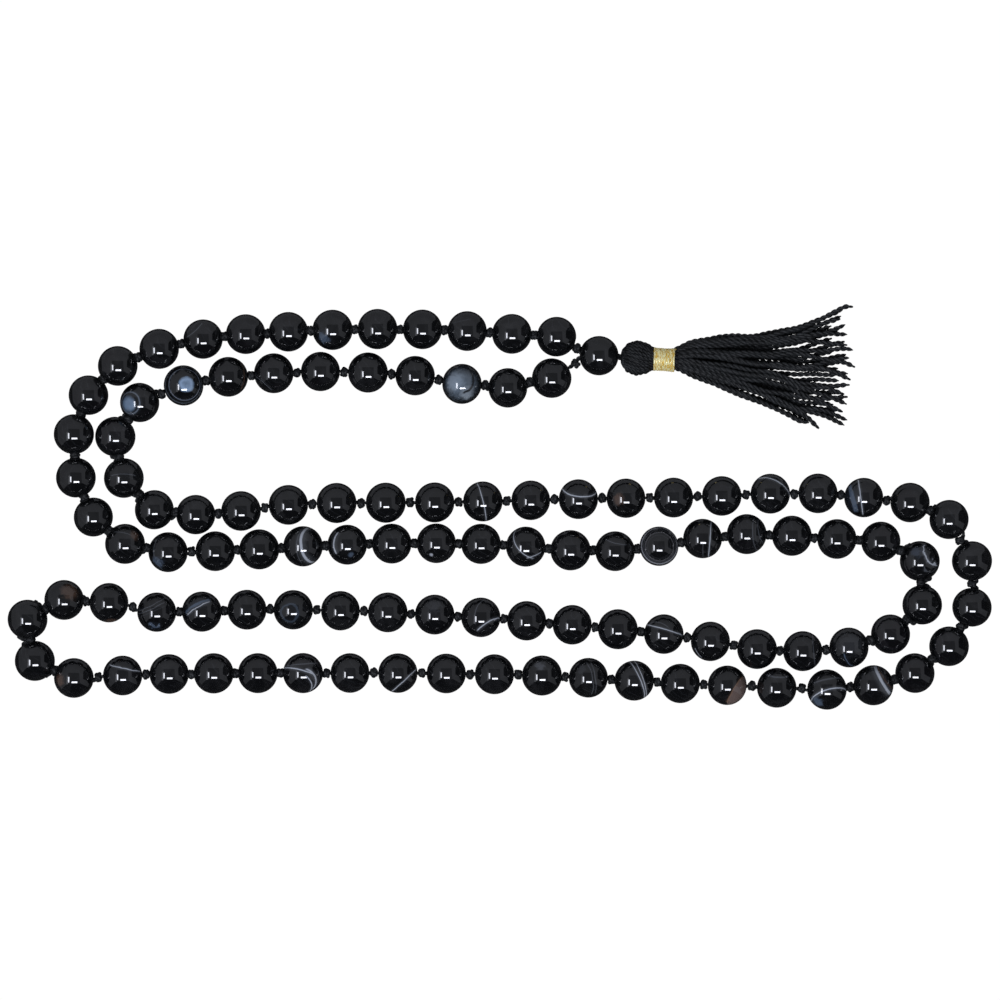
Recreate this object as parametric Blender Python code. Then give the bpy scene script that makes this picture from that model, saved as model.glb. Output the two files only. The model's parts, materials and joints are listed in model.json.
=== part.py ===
"""A mala: 108 knotted agate beads in one closed loop, a guru bead and a tassel.

The loop lies doubled on a table, as two strands side by side that wind back and forth in an S. Lengths are
in metres, +Z is up and the table is at z = 0. A piece that moves has its origin on its joint's axis.
"""

import math

import bmesh
import bpy
from mathutils import Vector

MM = 0.001

# Beads, cord and knots
BEAD_RADIUS = 4.0 * MM
MOUTH_RADIUS = 1.0 * MM  # the rim of the hole, where the cord leaves a bead
MOUTH_REACH = math.sqrt(BEAD_RADIUS**2 - MOUTH_RADIUS**2)
KNOT_RADIUS = 1.35 * MM
STUB_RADIUS = 0.9 * MM  # the most a bending knot may be, so that it clears the next bead
STUB_CLEARANCE = 0.12 * MM
BEAD_SIDES = 8
BEAD_RINGS = 7

# The guru bead and the cord through it. The tassel's parts are placed along an axis from the guru's centre.
GURU_PLACE = Vector((20.2, 30.6, 4.0)) * MM
TASSEL_HEADING = math.radians(-3.5)
GURU_BORE = 0.9 * MM
GURU_CORD_RADIUS = 0.5 * MM
GURU_CORD_END = 3.7 * MM
YOKE_RADIUS = 0.4 * MM
YOKE_ROUNDING = 0.25 * MM
YOKE_KNOTS = (Vector((15.6, 32.0, 4.0)) * MM, Vector((15.4, 29.0, 4.0)) * MM)
ROUND_SIDES = 16

# The tassel: its head and neck as (distance along the axis, radius), then the wrap
HEAD_PIVOT = 4.2 * MM
HEAD_PROFILE = ((4.45, 0.5), (4.95, 1.9), (6.1, 3.05), (7.8, 3.5), (9.6, 3.1), (10.8, 2.4), (11.2, 1.85))
NECK_END = 15.4 * MM
WRAP_START, WRAP_END = 11.5 * MM, 15.5 * MM
WRAP_INSIDE, WRAP_OUTSIDE = 2.15 * MM, 2.6 * MM

# The skirt of threads, as stations along X: x, the two edges in y, and its lowest and highest point
SKIRT_STATIONS = (
    (36.7, 27.8, 32.0, 3.0, 3.8),
    (39.2, 26.6, 33.4, 1.3, 5.5),
    (45.0, 23.8, 34.9, 0.0, 4.8),
    (53.0, 20.7, 35.3, 0.0, 4.2),
    (61.0, 17.4, 36.8, 0.0, 3.4),
    (71.0, 14.8, 41.0, 0.0, 2.2),
)
SKIRT_PIVOT = Vector((36.3, 0.0, 3.4)) * MM
LOCK_NAMES = ("skirt_lock_near", "skirt_lock_middle", "skirt_lock_far")
LOCK_GAP = 0.3 * MM

# Each strand's route, as (bead number, x, y) in millimetres. The beads between two points are evenly spaced.
STRAND_A = (
    (1, 11.5, 34.5), (4, -16.0, 36.0), (7, -43.5, 35.5), (9, -61.0, 34.0), (10, -70.0, 32.0),
    (11, -78.5, 28.5), (12, -84.5, 22.5), (13, -87.5, 14.5), (15, -83.5, -2.5), (16, -77.0, -8.0),
    (18, -58.5, -9.5), (20, -40.5, -8.5), (24, -4.0, -8.0), (27, 23.5, -9.5), (30, 50.5, -6.0),
    (32, 69.0, -7.0), (33, 78.0, -7.5), (34, 86.0, -11.5), (35, 86.5, -20.5), (36, 80.0, -26.5),
    (38, 62.0, -30.0), (41, 33.5, -26.5), (46, -13.5, -22.5), (50, -52.0, -21.5), (52, -70.5, -22.0),
    (54, -89.5, -19.5), (55, -97.0, -23.5),
)  # fmt: skip
STRAND_B = (
    (1, 10.5, 26.0), (2, 1.5, 24.0), (4, -17.5, 26.5), (7, -46.5, 27.0), (9, -65.0, 24.5),
    (10, -74.0, 21.0), (11, -79.0, 14.0), (13, -71.0, -1.0), (14, -62.5, -2.0), (16, -43.5, 0.0),
    (19, -13.5, 0.5), (24, 35.5, 1.5), (28, 74.5, 1.5), (30, 92.0, -3.0), (31, 96.7, -11.5),
    (32, 96.7, -21.0), (33, 92.0, -29.0), (34, 85.0, -34.5), (35, 76.5, -37.0), (38, 46.5, -37.0),
    (42, 8.5, -35.0), (47, -40.5, -34.5), (51, -77.5, -35.0), (52, -87.5, -35.5), (53, -95.5, -32.0),
)  # fmt: skip

# The doubled strand bends between these segments: the first and last bead of each strand in each of them
SEGMENTS = (
    ((1, 2), (1, 2)), ((3, 4), (3, 4)), ((5, 6), (5, 6)), ((7, 8), (7, 8)), ((9, 10), (9, 9)),
    ((11, 12), (10, 10)), ((13, 14), (11, 12)), ((15, 16), (13, 13)), ((17, 18), (14, 14)),
    ((19, 20), (15, 16)), ((21, 22), (17, 18)), ((23, 25), (19, 21)), ((26, 28), (22, 24)),
    ((29, 31), (25, 26)), ((32, 33), (27, 29)), ((34, 34), (30, 31)), ((35, 35), (32, 33)),
    ((36, 36), (34, 34)), ((37, 38), (35, 36)), ((39, 40), (37, 38)), ((41, 42), (39, 40)),
    ((43, 44), (41, 42)), ((45, 46), (43, 44)), ((47, 48), (45, 46)), ((49, 50), (47, 48)),
    ((51, 53), (49, 51)),
)  # fmt: skip
ROOT_SEGMENT = 11  # the segment in the middle of the S, counted from 0
END_LOOP = ((54, 55), (53, 52))  # the last beads of strand A, then those of strand B on the way back


def clear_scene():
    for thing in list(bpy.data.objects):
        bpy.data.objects.remove(thing, do_unlink=True)


def material(name, colour, roughness, metallic=0.0):
    made = bpy.data.materials.new(name)
    made.use_nodes = True
    shader = made.node_tree.nodes["Principled BSDF"]
    shader.inputs["Base Color"].default_value = (*colour, 1.0)
    shader.inputs["Roughness"].default_value = roughness
    shader.inputs["Metallic"].default_value = metallic
    made.diffuse_color = (*colour, 1.0)
    return made


def finish_object(name, bm, made_of, origin):
    """Makes the object of a mesh in world coordinates, with its origin at the given place."""
    bmesh.ops.translate(bm, verts=bm.verts, vec=-origin)
    bmesh.ops.recalc_face_normals(bm, faces=bm.faces)
    mesh = bpy.data.meshes.new(name)
    bm.to_mesh(mesh)
    bm.free()
    mesh.shade_smooth()
    mesh.set_sharp_from_angle(angle=math.radians(60))
    mesh.materials.append(made_of)
    thing = bpy.data.objects.new(name, mesh)
    thing.location = origin
    bpy.context.collection.objects.link(thing)
    return thing


def ring(bm, centre, direction, radius, sides):
    """A ring of vertices around a level direction, the first of them straight above the centre."""
    up = Vector((0.0, 0.0, 1.0))
    across = direction.cross(up)
    angles = (2 * math.pi * i / sides for i in range(sides))
    return [bm.verts.new(centre + radius * (math.cos(a) * up + math.sin(a) * across)) for a in angles]


def skin(bm, rings, closed=False):
    """Joins rings into a tube: with capped ends, or closed on itself like a washer."""
    pairs = list(zip(rings, rings[1:], strict=False))
    if closed:
        pairs.append((rings[-1], rings[0]))
    else:
        bm.faces.new(rings[0])
        bm.faces.new(rings[-1])
    for one, other in pairs:
        for i in range(len(one)):
            j = (i + 1) % len(one)
            bm.faces.new((one[i], one[j], other[j], other[i]))


def route_point(route, bead):
    """The centre of a bead, on a smooth curve through the route's points."""
    last = len(route) - 1
    here = max(i for i in range(last) if route[i][0] <= bead)

    def place(i):
        return Vector((route[i][1] * MM, route[i][2] * MM, BEAD_RADIUS))

    def slope(i):
        if i == 0:
            return (place(1) - place(0)) / (route[1][0] - route[0][0])
        if i == last:
            return (place(i) - place(i - 1)) / (route[i][0] - route[i - 1][0])
        before, after = route[i][0] - route[i - 1][0], route[i + 1][0] - route[i][0]
        arriving, leaving = (place(i) - place(i - 1)) / before, (place(i + 1) - place(i)) / after
        return (arriving * after + leaving * before) / (before + after)

    span = route[here + 1][0] - route[here][0]
    u = (bead - route[here][0]) / span
    return (
        (2 * u**3 - 3 * u**2 + 1) * place(here)
        + (u**3 - 2 * u**2 + u) * span * slope(here)
        + (3 * u**2 - 2 * u**3) * place(here + 1)
        + (u**3 - u**2) * span * slope(here + 1)
    )


def strand_beads(route):
    """The centres of a strand's beads, with the first bead at index 1."""
    return [None] + [route_point(route, bead) for bead in range(1, route[-1][0] + 1)]


def knot_between(beads, first):
    return (beads[first] + beads[first + 1]) / 2


def fold_knots(segment, beads_a, beads_b):
    """The two knots, one in each strand, that bend where this segment meets the next one."""
    (_, last_a), (_, last_b) = SEGMENTS[segment]
    return knot_between(beads_a, last_a), knot_between(beads_b, last_b)


def bead_rings(bm, centre, direction):
    least = math.asin(MOUTH_RADIUS / BEAD_RADIUS)
    rings = []
    for i in range(BEAD_RINGS):
        polar = least + (math.pi - 2 * least) * i / (BEAD_RINGS - 1)
        middle = centre - direction * BEAD_RADIUS * math.cos(polar)
        rings.append(ring(bm, middle, direction, BEAD_RADIUS * math.sin(polar), BEAD_SIDES))
    return rings


def threaded_beads(bm, centres, before, after, bends_after):
    """The rings of a run of beads with the knots between them.

    before and after are the neighbouring beads' centres. With bends_after, the run ends in the small knot
    that the next segment bends on.
    """
    line = [before, *centres, after]
    rings = []
    for i in range(1, len(line) - 1):
        direction = (line[i + 1] - line[i - 1]).normalized()
        rings += bead_rings(bm, line[i], direction)
        onward = (line[i + 1] - line[i]).normalized()
        knot = (line[i] + line[i + 1]) / 2
        if i < len(line) - 2:
            rings.append(ring(bm, knot, onward, KNOT_RADIUS, BEAD_SIDES))
        elif bends_after:
            free = (knot - line[i]).length - MOUTH_REACH - STUB_CLEARANCE
            radius = min(free, STUB_RADIUS)
            rings.append(ring(bm, knot, onward, radius, BEAD_SIDES))
            rings.append(ring(bm, knot + onward * radius * 0.4, onward, radius * 0.85, BEAD_SIDES))
    return rings


def piece_name(letter, span):
    first, last = span
    if first == last:
        return f"strand_{letter}_bead_{first:02d}"
    return f"strand_{letter}_beads_{first:02d}_{last:02d}"


def strand_piece(name, beads, span, start, agate, origin):
    """One strand's beads in one segment. start is the knot before the strand's first bead."""
    first, last = span
    before = beads[first - 1] if first > 1 else start * 2 - beads[1]
    bm = bmesh.new()
    skin(bm, threaded_beads(bm, beads[first : last + 1], before, beads[last + 1], bends_after=True))
    return finish_object(name, bm, agate, origin)


def make_strands(beads_a, beads_b, agate):
    for index, spans in enumerate(SEGMENTS):
        if index < ROOT_SEGMENT:
            hinges = fold_knots(index, beads_a, beads_b)
        else:
            hinges = fold_knots(index - 1, beads_a, beads_b)
        strands = (("a", beads_a, YOKE_KNOTS[0]), ("b", beads_b, YOKE_KNOTS[1]))
        for (letter, beads, start), span, hinge in zip(strands, spans, hinges, strict=True):
            strand_piece(piece_name(letter, span), beads, span, start, agate, hinge)


def make_end_loop(beads_a, beads_b, agate):
    """The last beads of both strands, which the cord joins around the end of the doubled strand."""
    (a_first, a_last), (b_last, b_first) = END_LOOP
    centres = beads_a[a_first : a_last + 1] + beads_b[b_first : b_last + 1][::-1]
    bm = bmesh.new()
    rings = threaded_beads(bm, centres, beads_a[a_first - 1], beads_b[b_first - 1], bends_after=False)
    skin(bm, rings)
    knot_a, _ = fold_knots(len(SEGMENTS) - 1, beads_a, beads_b)
    finish_object("end_loop_beads", bm, agate, knot_a)


def tassel_axis():
    """An empty at the guru bead's centre, with its X axis along the tassel."""
    axis = bpy.data.objects.new("tassel_axis", None)
    axis.location = GURU_PLACE
    axis.rotation_euler = (0.0, 0.0, TASSEL_HEADING)
    bpy.context.collection.objects.link(axis)
    return axis


def lathe(name, profile, made_of, axis, origin, closed=False):
    """A round piece along the tassel's axis, of (distance, radius) points."""
    bm = bmesh.new()
    along = Vector((1.0, 0.0, 0.0))
    skin(bm, [ring(bm, along * x, along, r, ROUND_SIDES) for x, r in profile], closed)
    thing = finish_object(name, bm, made_of, along * origin)
    thing.parent = axis
    return thing


def make_guru(agate, cotton, axis):
    least = math.asin(GURU_BORE / BEAD_RADIUS)
    steps = 10
    polars = [least + (math.pi - 2 * least) * i / steps for i in range(steps + 1)]
    shell = [(-BEAD_RADIUS * math.cos(p), BEAD_RADIUS * math.sin(p)) for p in polars]
    lathe("guru_bead", shell, agate, axis, 0.0, closed=True)
    make_guru_cord(cotton)


def make_guru_cord(cotton):
    """The cord through the guru bead, with the yoke that ties both ends of the loop to it."""
    one, other = YOKE_KNOTS
    middle = (one + other) / 2
    reach = (one - other).length / 2
    outward = (one - other).normalized()
    heading = Vector((math.cos(TASSEL_HEADING), math.sin(TASSEL_HEADING), 0.0))

    bm = bmesh.new()
    ends = ((-reach, 0.6), (-reach + YOKE_ROUNDING, 1.0), (reach - YOKE_ROUNDING, 1.0), (reach, 0.6))
    skin(bm, [ring(bm, middle + outward * x, outward, YOKE_RADIUS * share, BEAD_SIDES) for x, share in ends])
    yoke = finish_object("guru_cord", bm, cotton, middle)

    bm = bmesh.new()
    near = GURU_PLACE - heading * (GURU_PLACE - middle).dot(heading)
    far = GURU_PLACE + heading * GURU_CORD_END
    skin(bm, [ring(bm, end, heading, GURU_CORD_RADIUS, BEAD_SIDES) for end in (near, far)])
    core = finish_object("guru_cord_core", bm, cotton, middle)
    core.hide_render = True
    core.display_type = "WIRE"
    union = yoke.modifiers.new("core", "BOOLEAN")
    union.operation = "UNION"
    union.object = core


def make_tassel_head(cotton, gold, axis):
    profile = [(x * MM, r * MM) for x, r in HEAD_PROFILE]
    profile.append((NECK_END, profile[-1][1]))
    lathe("tassel_head", profile, cotton, axis, HEAD_PIVOT)
    rim = 0.15 * MM
    wrap = (
        (WRAP_START, WRAP_INSIDE),
        (WRAP_START, WRAP_OUTSIDE - rim),
        (WRAP_START + rim, WRAP_OUTSIDE),
        (WRAP_END - rim, WRAP_OUTSIDE),
        (WRAP_END, WRAP_OUTSIDE - rim),
        (WRAP_END, WRAP_INSIDE),
    )
    lathe("gold_thread_wrap", wrap, gold, axis, HEAD_PIVOT, closed=True)


def lock_section(station, share_low, share_high):
    """A lock's outline across the skirt at one station: flat below and rounded above."""
    x, low, high, bottom, top = station
    y0 = (low + (high - low) * share_low) * MM + LOCK_GAP / 2
    y1 = (low + (high - low) * share_high) * MM - LOCK_GAP / 2
    bottom, top = bottom * MM, top * MM
    outline = ((0.08, 0.0), (0.92, 0.0), (1.0, 0.3), (0.94, 0.7), (0.7, 1.0), (0.3, 1.0), (0.06, 0.7), (0.0, 0.3))
    return [Vector((x * MM, y0 + (y1 - y0) * a, bottom + (top - bottom) * h)) for a, h in outline]


def make_skirt(cotton):
    """The skirt's threads as three locks side by side, each of which lifts on its own."""
    count = len(LOCK_NAMES)
    for index, name in enumerate(LOCK_NAMES):
        bm = bmesh.new()
        rings = []
        for station in SKIRT_STATIONS:
            outline = lock_section(station, index / count, (index + 1) / count)
            rings.append([bm.verts.new(point) for point in outline])
        skin(bm, rings)
        middle_y = sum(vert.co.y for vert in rings[0]) / len(rings[0])
        finish_object(name, bm, cotton, Vector((SKIRT_PIVOT.x, middle_y, SKIRT_PIVOT.z)))


def make_mala():
    agate = material("black_agate", (0.012, 0.012, 0.013), 0.12)
    cotton = material("black_cotton", (0.015, 0.016, 0.017), 0.85)
    gold = material("gold_thread", (0.83, 0.6, 0.22), 0.35, 1.0)
    beads_a, beads_b = strand_beads(STRAND_A), strand_beads(STRAND_B)
    make_strands(beads_a, beads_b, agate)
    make_end_loop(beads_a, beads_b, agate)
    axis = tassel_axis()
    make_guru(agate, cotton, axis)
    make_tassel_head(cotton, gold, axis)
    make_skirt(cotton)


clear_scene()
make_mala()
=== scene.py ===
"""The looks of a mala: black agate beads on a knotted cord, a guru bead and a tassel bound with gold thread.

The pieces lie where the CAD model has them. Lengths are in metres, and the strands' routes are the CAD's own.
"""

import json
import math
import random

import bmesh
import bpy
from mathutils import Matrix, Quaternion, Vector


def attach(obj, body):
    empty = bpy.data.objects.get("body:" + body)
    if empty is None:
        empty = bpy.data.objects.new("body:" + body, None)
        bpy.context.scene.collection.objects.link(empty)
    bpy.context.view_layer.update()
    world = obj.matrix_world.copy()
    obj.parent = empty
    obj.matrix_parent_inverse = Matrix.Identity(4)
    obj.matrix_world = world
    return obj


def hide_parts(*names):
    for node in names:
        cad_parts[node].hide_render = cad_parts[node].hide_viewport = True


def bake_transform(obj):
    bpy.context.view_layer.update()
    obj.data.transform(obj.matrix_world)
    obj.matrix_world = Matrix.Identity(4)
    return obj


MM = 0.001
UP = Vector((0.0, 0.0, 1.0))

# The camera looks straight down from far away, at this part of the table
VIEW_CENTRE = Vector((-0.1, 1.0, 4.0)) * MM
VIEW_WIDTH = 205.1 * MM
LENS = 400.0
SENSOR = 36.0
CAMERA_REACH = 20.0

# Beads
BEAD_RADIUS = 4.0 * MM
BORE_RADIUS = 0.55 * MM
LIP = 0.15 * MM
BEAD_SIZES = (1.010, 1.038)  # how far the beads' radii differ
GURU_SIZE = 1.012
BEAD_SQUASH = 0.02  # how much shorter along its bore a bead can be
BEAD_SIDES = 48
BEAD_STEPS = 24

# The cord and its knots
CORD_WIDTH = 0.9 * MM
CORD_LAY = 2.2 * MM
TAIL = 0.6 * MM  # how far the cord runs on into the bead after a knot
KNOT_RING = 0.52 * MM
KNOT_SWELL = 0.12 * MM
KNOT_HALF_LENGTH = 0.34 * MM
KNOT_CORD = 1.05 * MM
KNOT_LAY = 2.4 * MM
KNOT_OFFSET = 0.12 * MM
KNOT_STEPS = 64
PLY_SIDES = 7
RELIEF = 0.215  # how far each ply stands off the middle of a thread, as a share of the thread's width
KNOT_RELIEF = 0.12
STEPS_A_LAY = 10

# The guru bead, and the tassel along an axis from its centre, in millimetres
GURU_PLACE = Vector((20.2, 30.6, 4.0)) * MM
TASSEL_HEADING = math.radians(-3.5)
YOKE_KNOTS = (Vector((15.6, 32.0, 4.0)) * MM, Vector((15.4, 29.0, 4.0)) * MM)
HEAD_PROFILE = (
    (4.25, 0.3), (4.6, 0.8), (5.1, 1.9), (6.1, 3.05), (7.8, 3.5), (9.6, 3.1), (10.8, 2.4), (11.6, 1.95),
)  # fmt: skip
NECK_END = 15.6
NECK_RADIUS = 1.95
HEAD_THREADS = 26
HEAD_THREAD_WIDTH = 0.8
HEAD_SWIRL = 0.9  # how far the threads turn round the head, in radians
HEAD_STEPS = 30
CORE_DEPTH = 0.25  # how deep under the threads' outline the core lies
CORE_SIDES = 24
WRAP_START, WRAP_END = 11.3, 15.6
WRAP_TURNS = 12
WRAP_RADIUS = 2.16
WRAP_THREAD = 0.42

# The skirt's threads, laid out by stations along X: x, the two edges in y, and the lowest and highest point
SKIRT_STATIONS = (
    (33.0, 28.5, 31.1, 2.5, 4.9),
    (36.7, 27.3, 32.8, 1.6, 5.4),
    (39.2, 26.1, 34.0, 0.8, 5.5),
    (45.0, 23.8, 34.9, 0.0, 4.8),
    (53.0, 20.7, 35.3, 0.0, 4.2),
    (61.0, 16.9, 36.8, 0.0, 3.2),
    (71.0, 15.2, 40.6, 0.0, 2.1),
)
# The tips of the tufts that the threads gather into at the skirt's end, as x and y, and each one's threads
TUFTS = (
    (63.0, 15.0, 2), (65.4, 14.4, 2), (70.6, 16.2, 3), (71.2, 18.3, 3), (71.1, 20.6, 3), (71.3, 22.5, 3),
    (71.7, 24.4, 3), (71.9, 26.3, 3), (72.8, 28.3, 3), (71.6, 30.3, 2), (72.4, 32.4, 3), (71.2, 35.2, 3),
    (70.8, 37.9, 3), (72.4, 40.5, 3),
)  # fmt: skip
THREAD_WIDTH = 1.08 * MM
THREAD_LAY = 2.6 * MM
THREAD_POINTS = 110
SHORTEST_END = 63.4  # no thread ends before this x
GATHER_START = 58.5  # where the threads begin to gather into tufts
LOCKS = ("skirt_lock_near", "skirt_lock_middle", "skirt_lock_far")

# Each strand's route, as (bead number, x, y) in millimetres. The beads between two points are evenly spaced.
STRAND_A = (
    (1, 11.5, 34.5), (4, -16.0, 36.0), (7, -43.5, 35.5), (9, -61.0, 34.0), (10, -70.0, 32.0),
    (11, -78.5, 28.5), (12, -84.5, 22.5), (13, -87.5, 14.5), (15, -83.5, -2.5), (16, -77.0, -8.0),
    (18, -58.5, -9.5), (20, -40.5, -8.5), (24, -4.0, -8.0), (27, 23.5, -9.5), (30, 50.5, -6.0),
    (32, 69.0, -7.0), (33, 78.0, -7.5), (34, 86.0, -11.5), (35, 86.5, -20.5), (36, 80.0, -26.5),
    (38, 62.0, -30.0), (41, 33.5, -26.5), (46, -13.5, -22.5), (50, -52.0, -21.5), (52, -70.5, -22.0),
    (54, -89.5, -19.5), (55, -97.0, -23.5),
)  # fmt: skip
STRAND_B = (
    (1, 10.5, 26.0), (2, 1.5, 24.0), (4, -17.5, 26.5), (7, -46.5, 27.0), (9, -65.0, 24.5),
    (10, -74.0, 21.0), (11, -79.0, 14.0), (13, -71.0, -1.0), (14, -62.5, -2.0), (16, -43.5, 0.0),
    (19, -13.5, 0.5), (24, 35.5, 1.5), (28, 74.5, 1.5), (30, 92.0, -3.0), (31, 96.7, -11.5),
    (32, 96.7, -21.0), (33, 92.0, -29.0), (34, 85.0, -34.5), (35, 76.5, -37.0), (38, 46.5, -37.0),
    (42, 8.5, -35.0), (47, -40.5, -34.5), (51, -77.5, -35.0), (52, -87.5, -35.5), (53, -95.5, -32.0),
)  # fmt: skip
END_LOOP_BEADS = (("a", 54), ("a", 55), ("b", 53), ("b", 52))

# The agate's colours
PALE = (0.42, 0.45, 0.50)
BLUE = (0.070, 0.095, 0.135)
GREY = (0.065, 0.070, 0.080)
FAINT = (0.022, 0.024, 0.028)
BROWN = (0.075, 0.045, 0.032)
BLACK = (0.0030, 0.0033, 0.0040)
CLOUD = (0.0108, 0.0111, 0.0124)
AGATE_IOR = 1.54
PLAIN_VARIANTS = 19

# The threads' colours: each dark one is the thread's own, each light one is painted sheen on the cotton's
# fibres and painted glints on the gold's flecks
COTTON_DARK, COTTON_SHEEN = (0.0034, 0.0038, 0.0043), (0.0235, 0.0255, 0.028)
GOLD_DARK, GOLD_GLINT = (0.78, 0.50, 0.06), (1.0, 0.95, 0.54)


def through(*points, width=0.03, tone=PALE, wobble=0.05):
    """A vein that crosses a bead through three points, seen from above, in shares of the bead's radius."""
    return {"form": "vein", "points": points, "width": width, "tone": tone, "wobble": wobble}


def around(x, y, angle, width=0.03, tone=PALE, wobble=0.04):
    """A vein that rings a point of the bead at an angle in degrees."""
    return {"form": "ring", "middle": (x, y), "angle": angle, "width": width, "tone": tone, "wobble": wobble}


def patch(x, y, radius, tone=GREY, grain=0.5):
    """A cloudy spot, broken up by its grain."""
    return {"form": "patch", "middle": (x, y), "radius": radius, "tone": tone, "grain": grain}


def beyond(*points, inside, tone):
    """Everything on one side of a vein."""
    return {"form": "side", "points": points, "inside": inside, "tone": tone}


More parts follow.
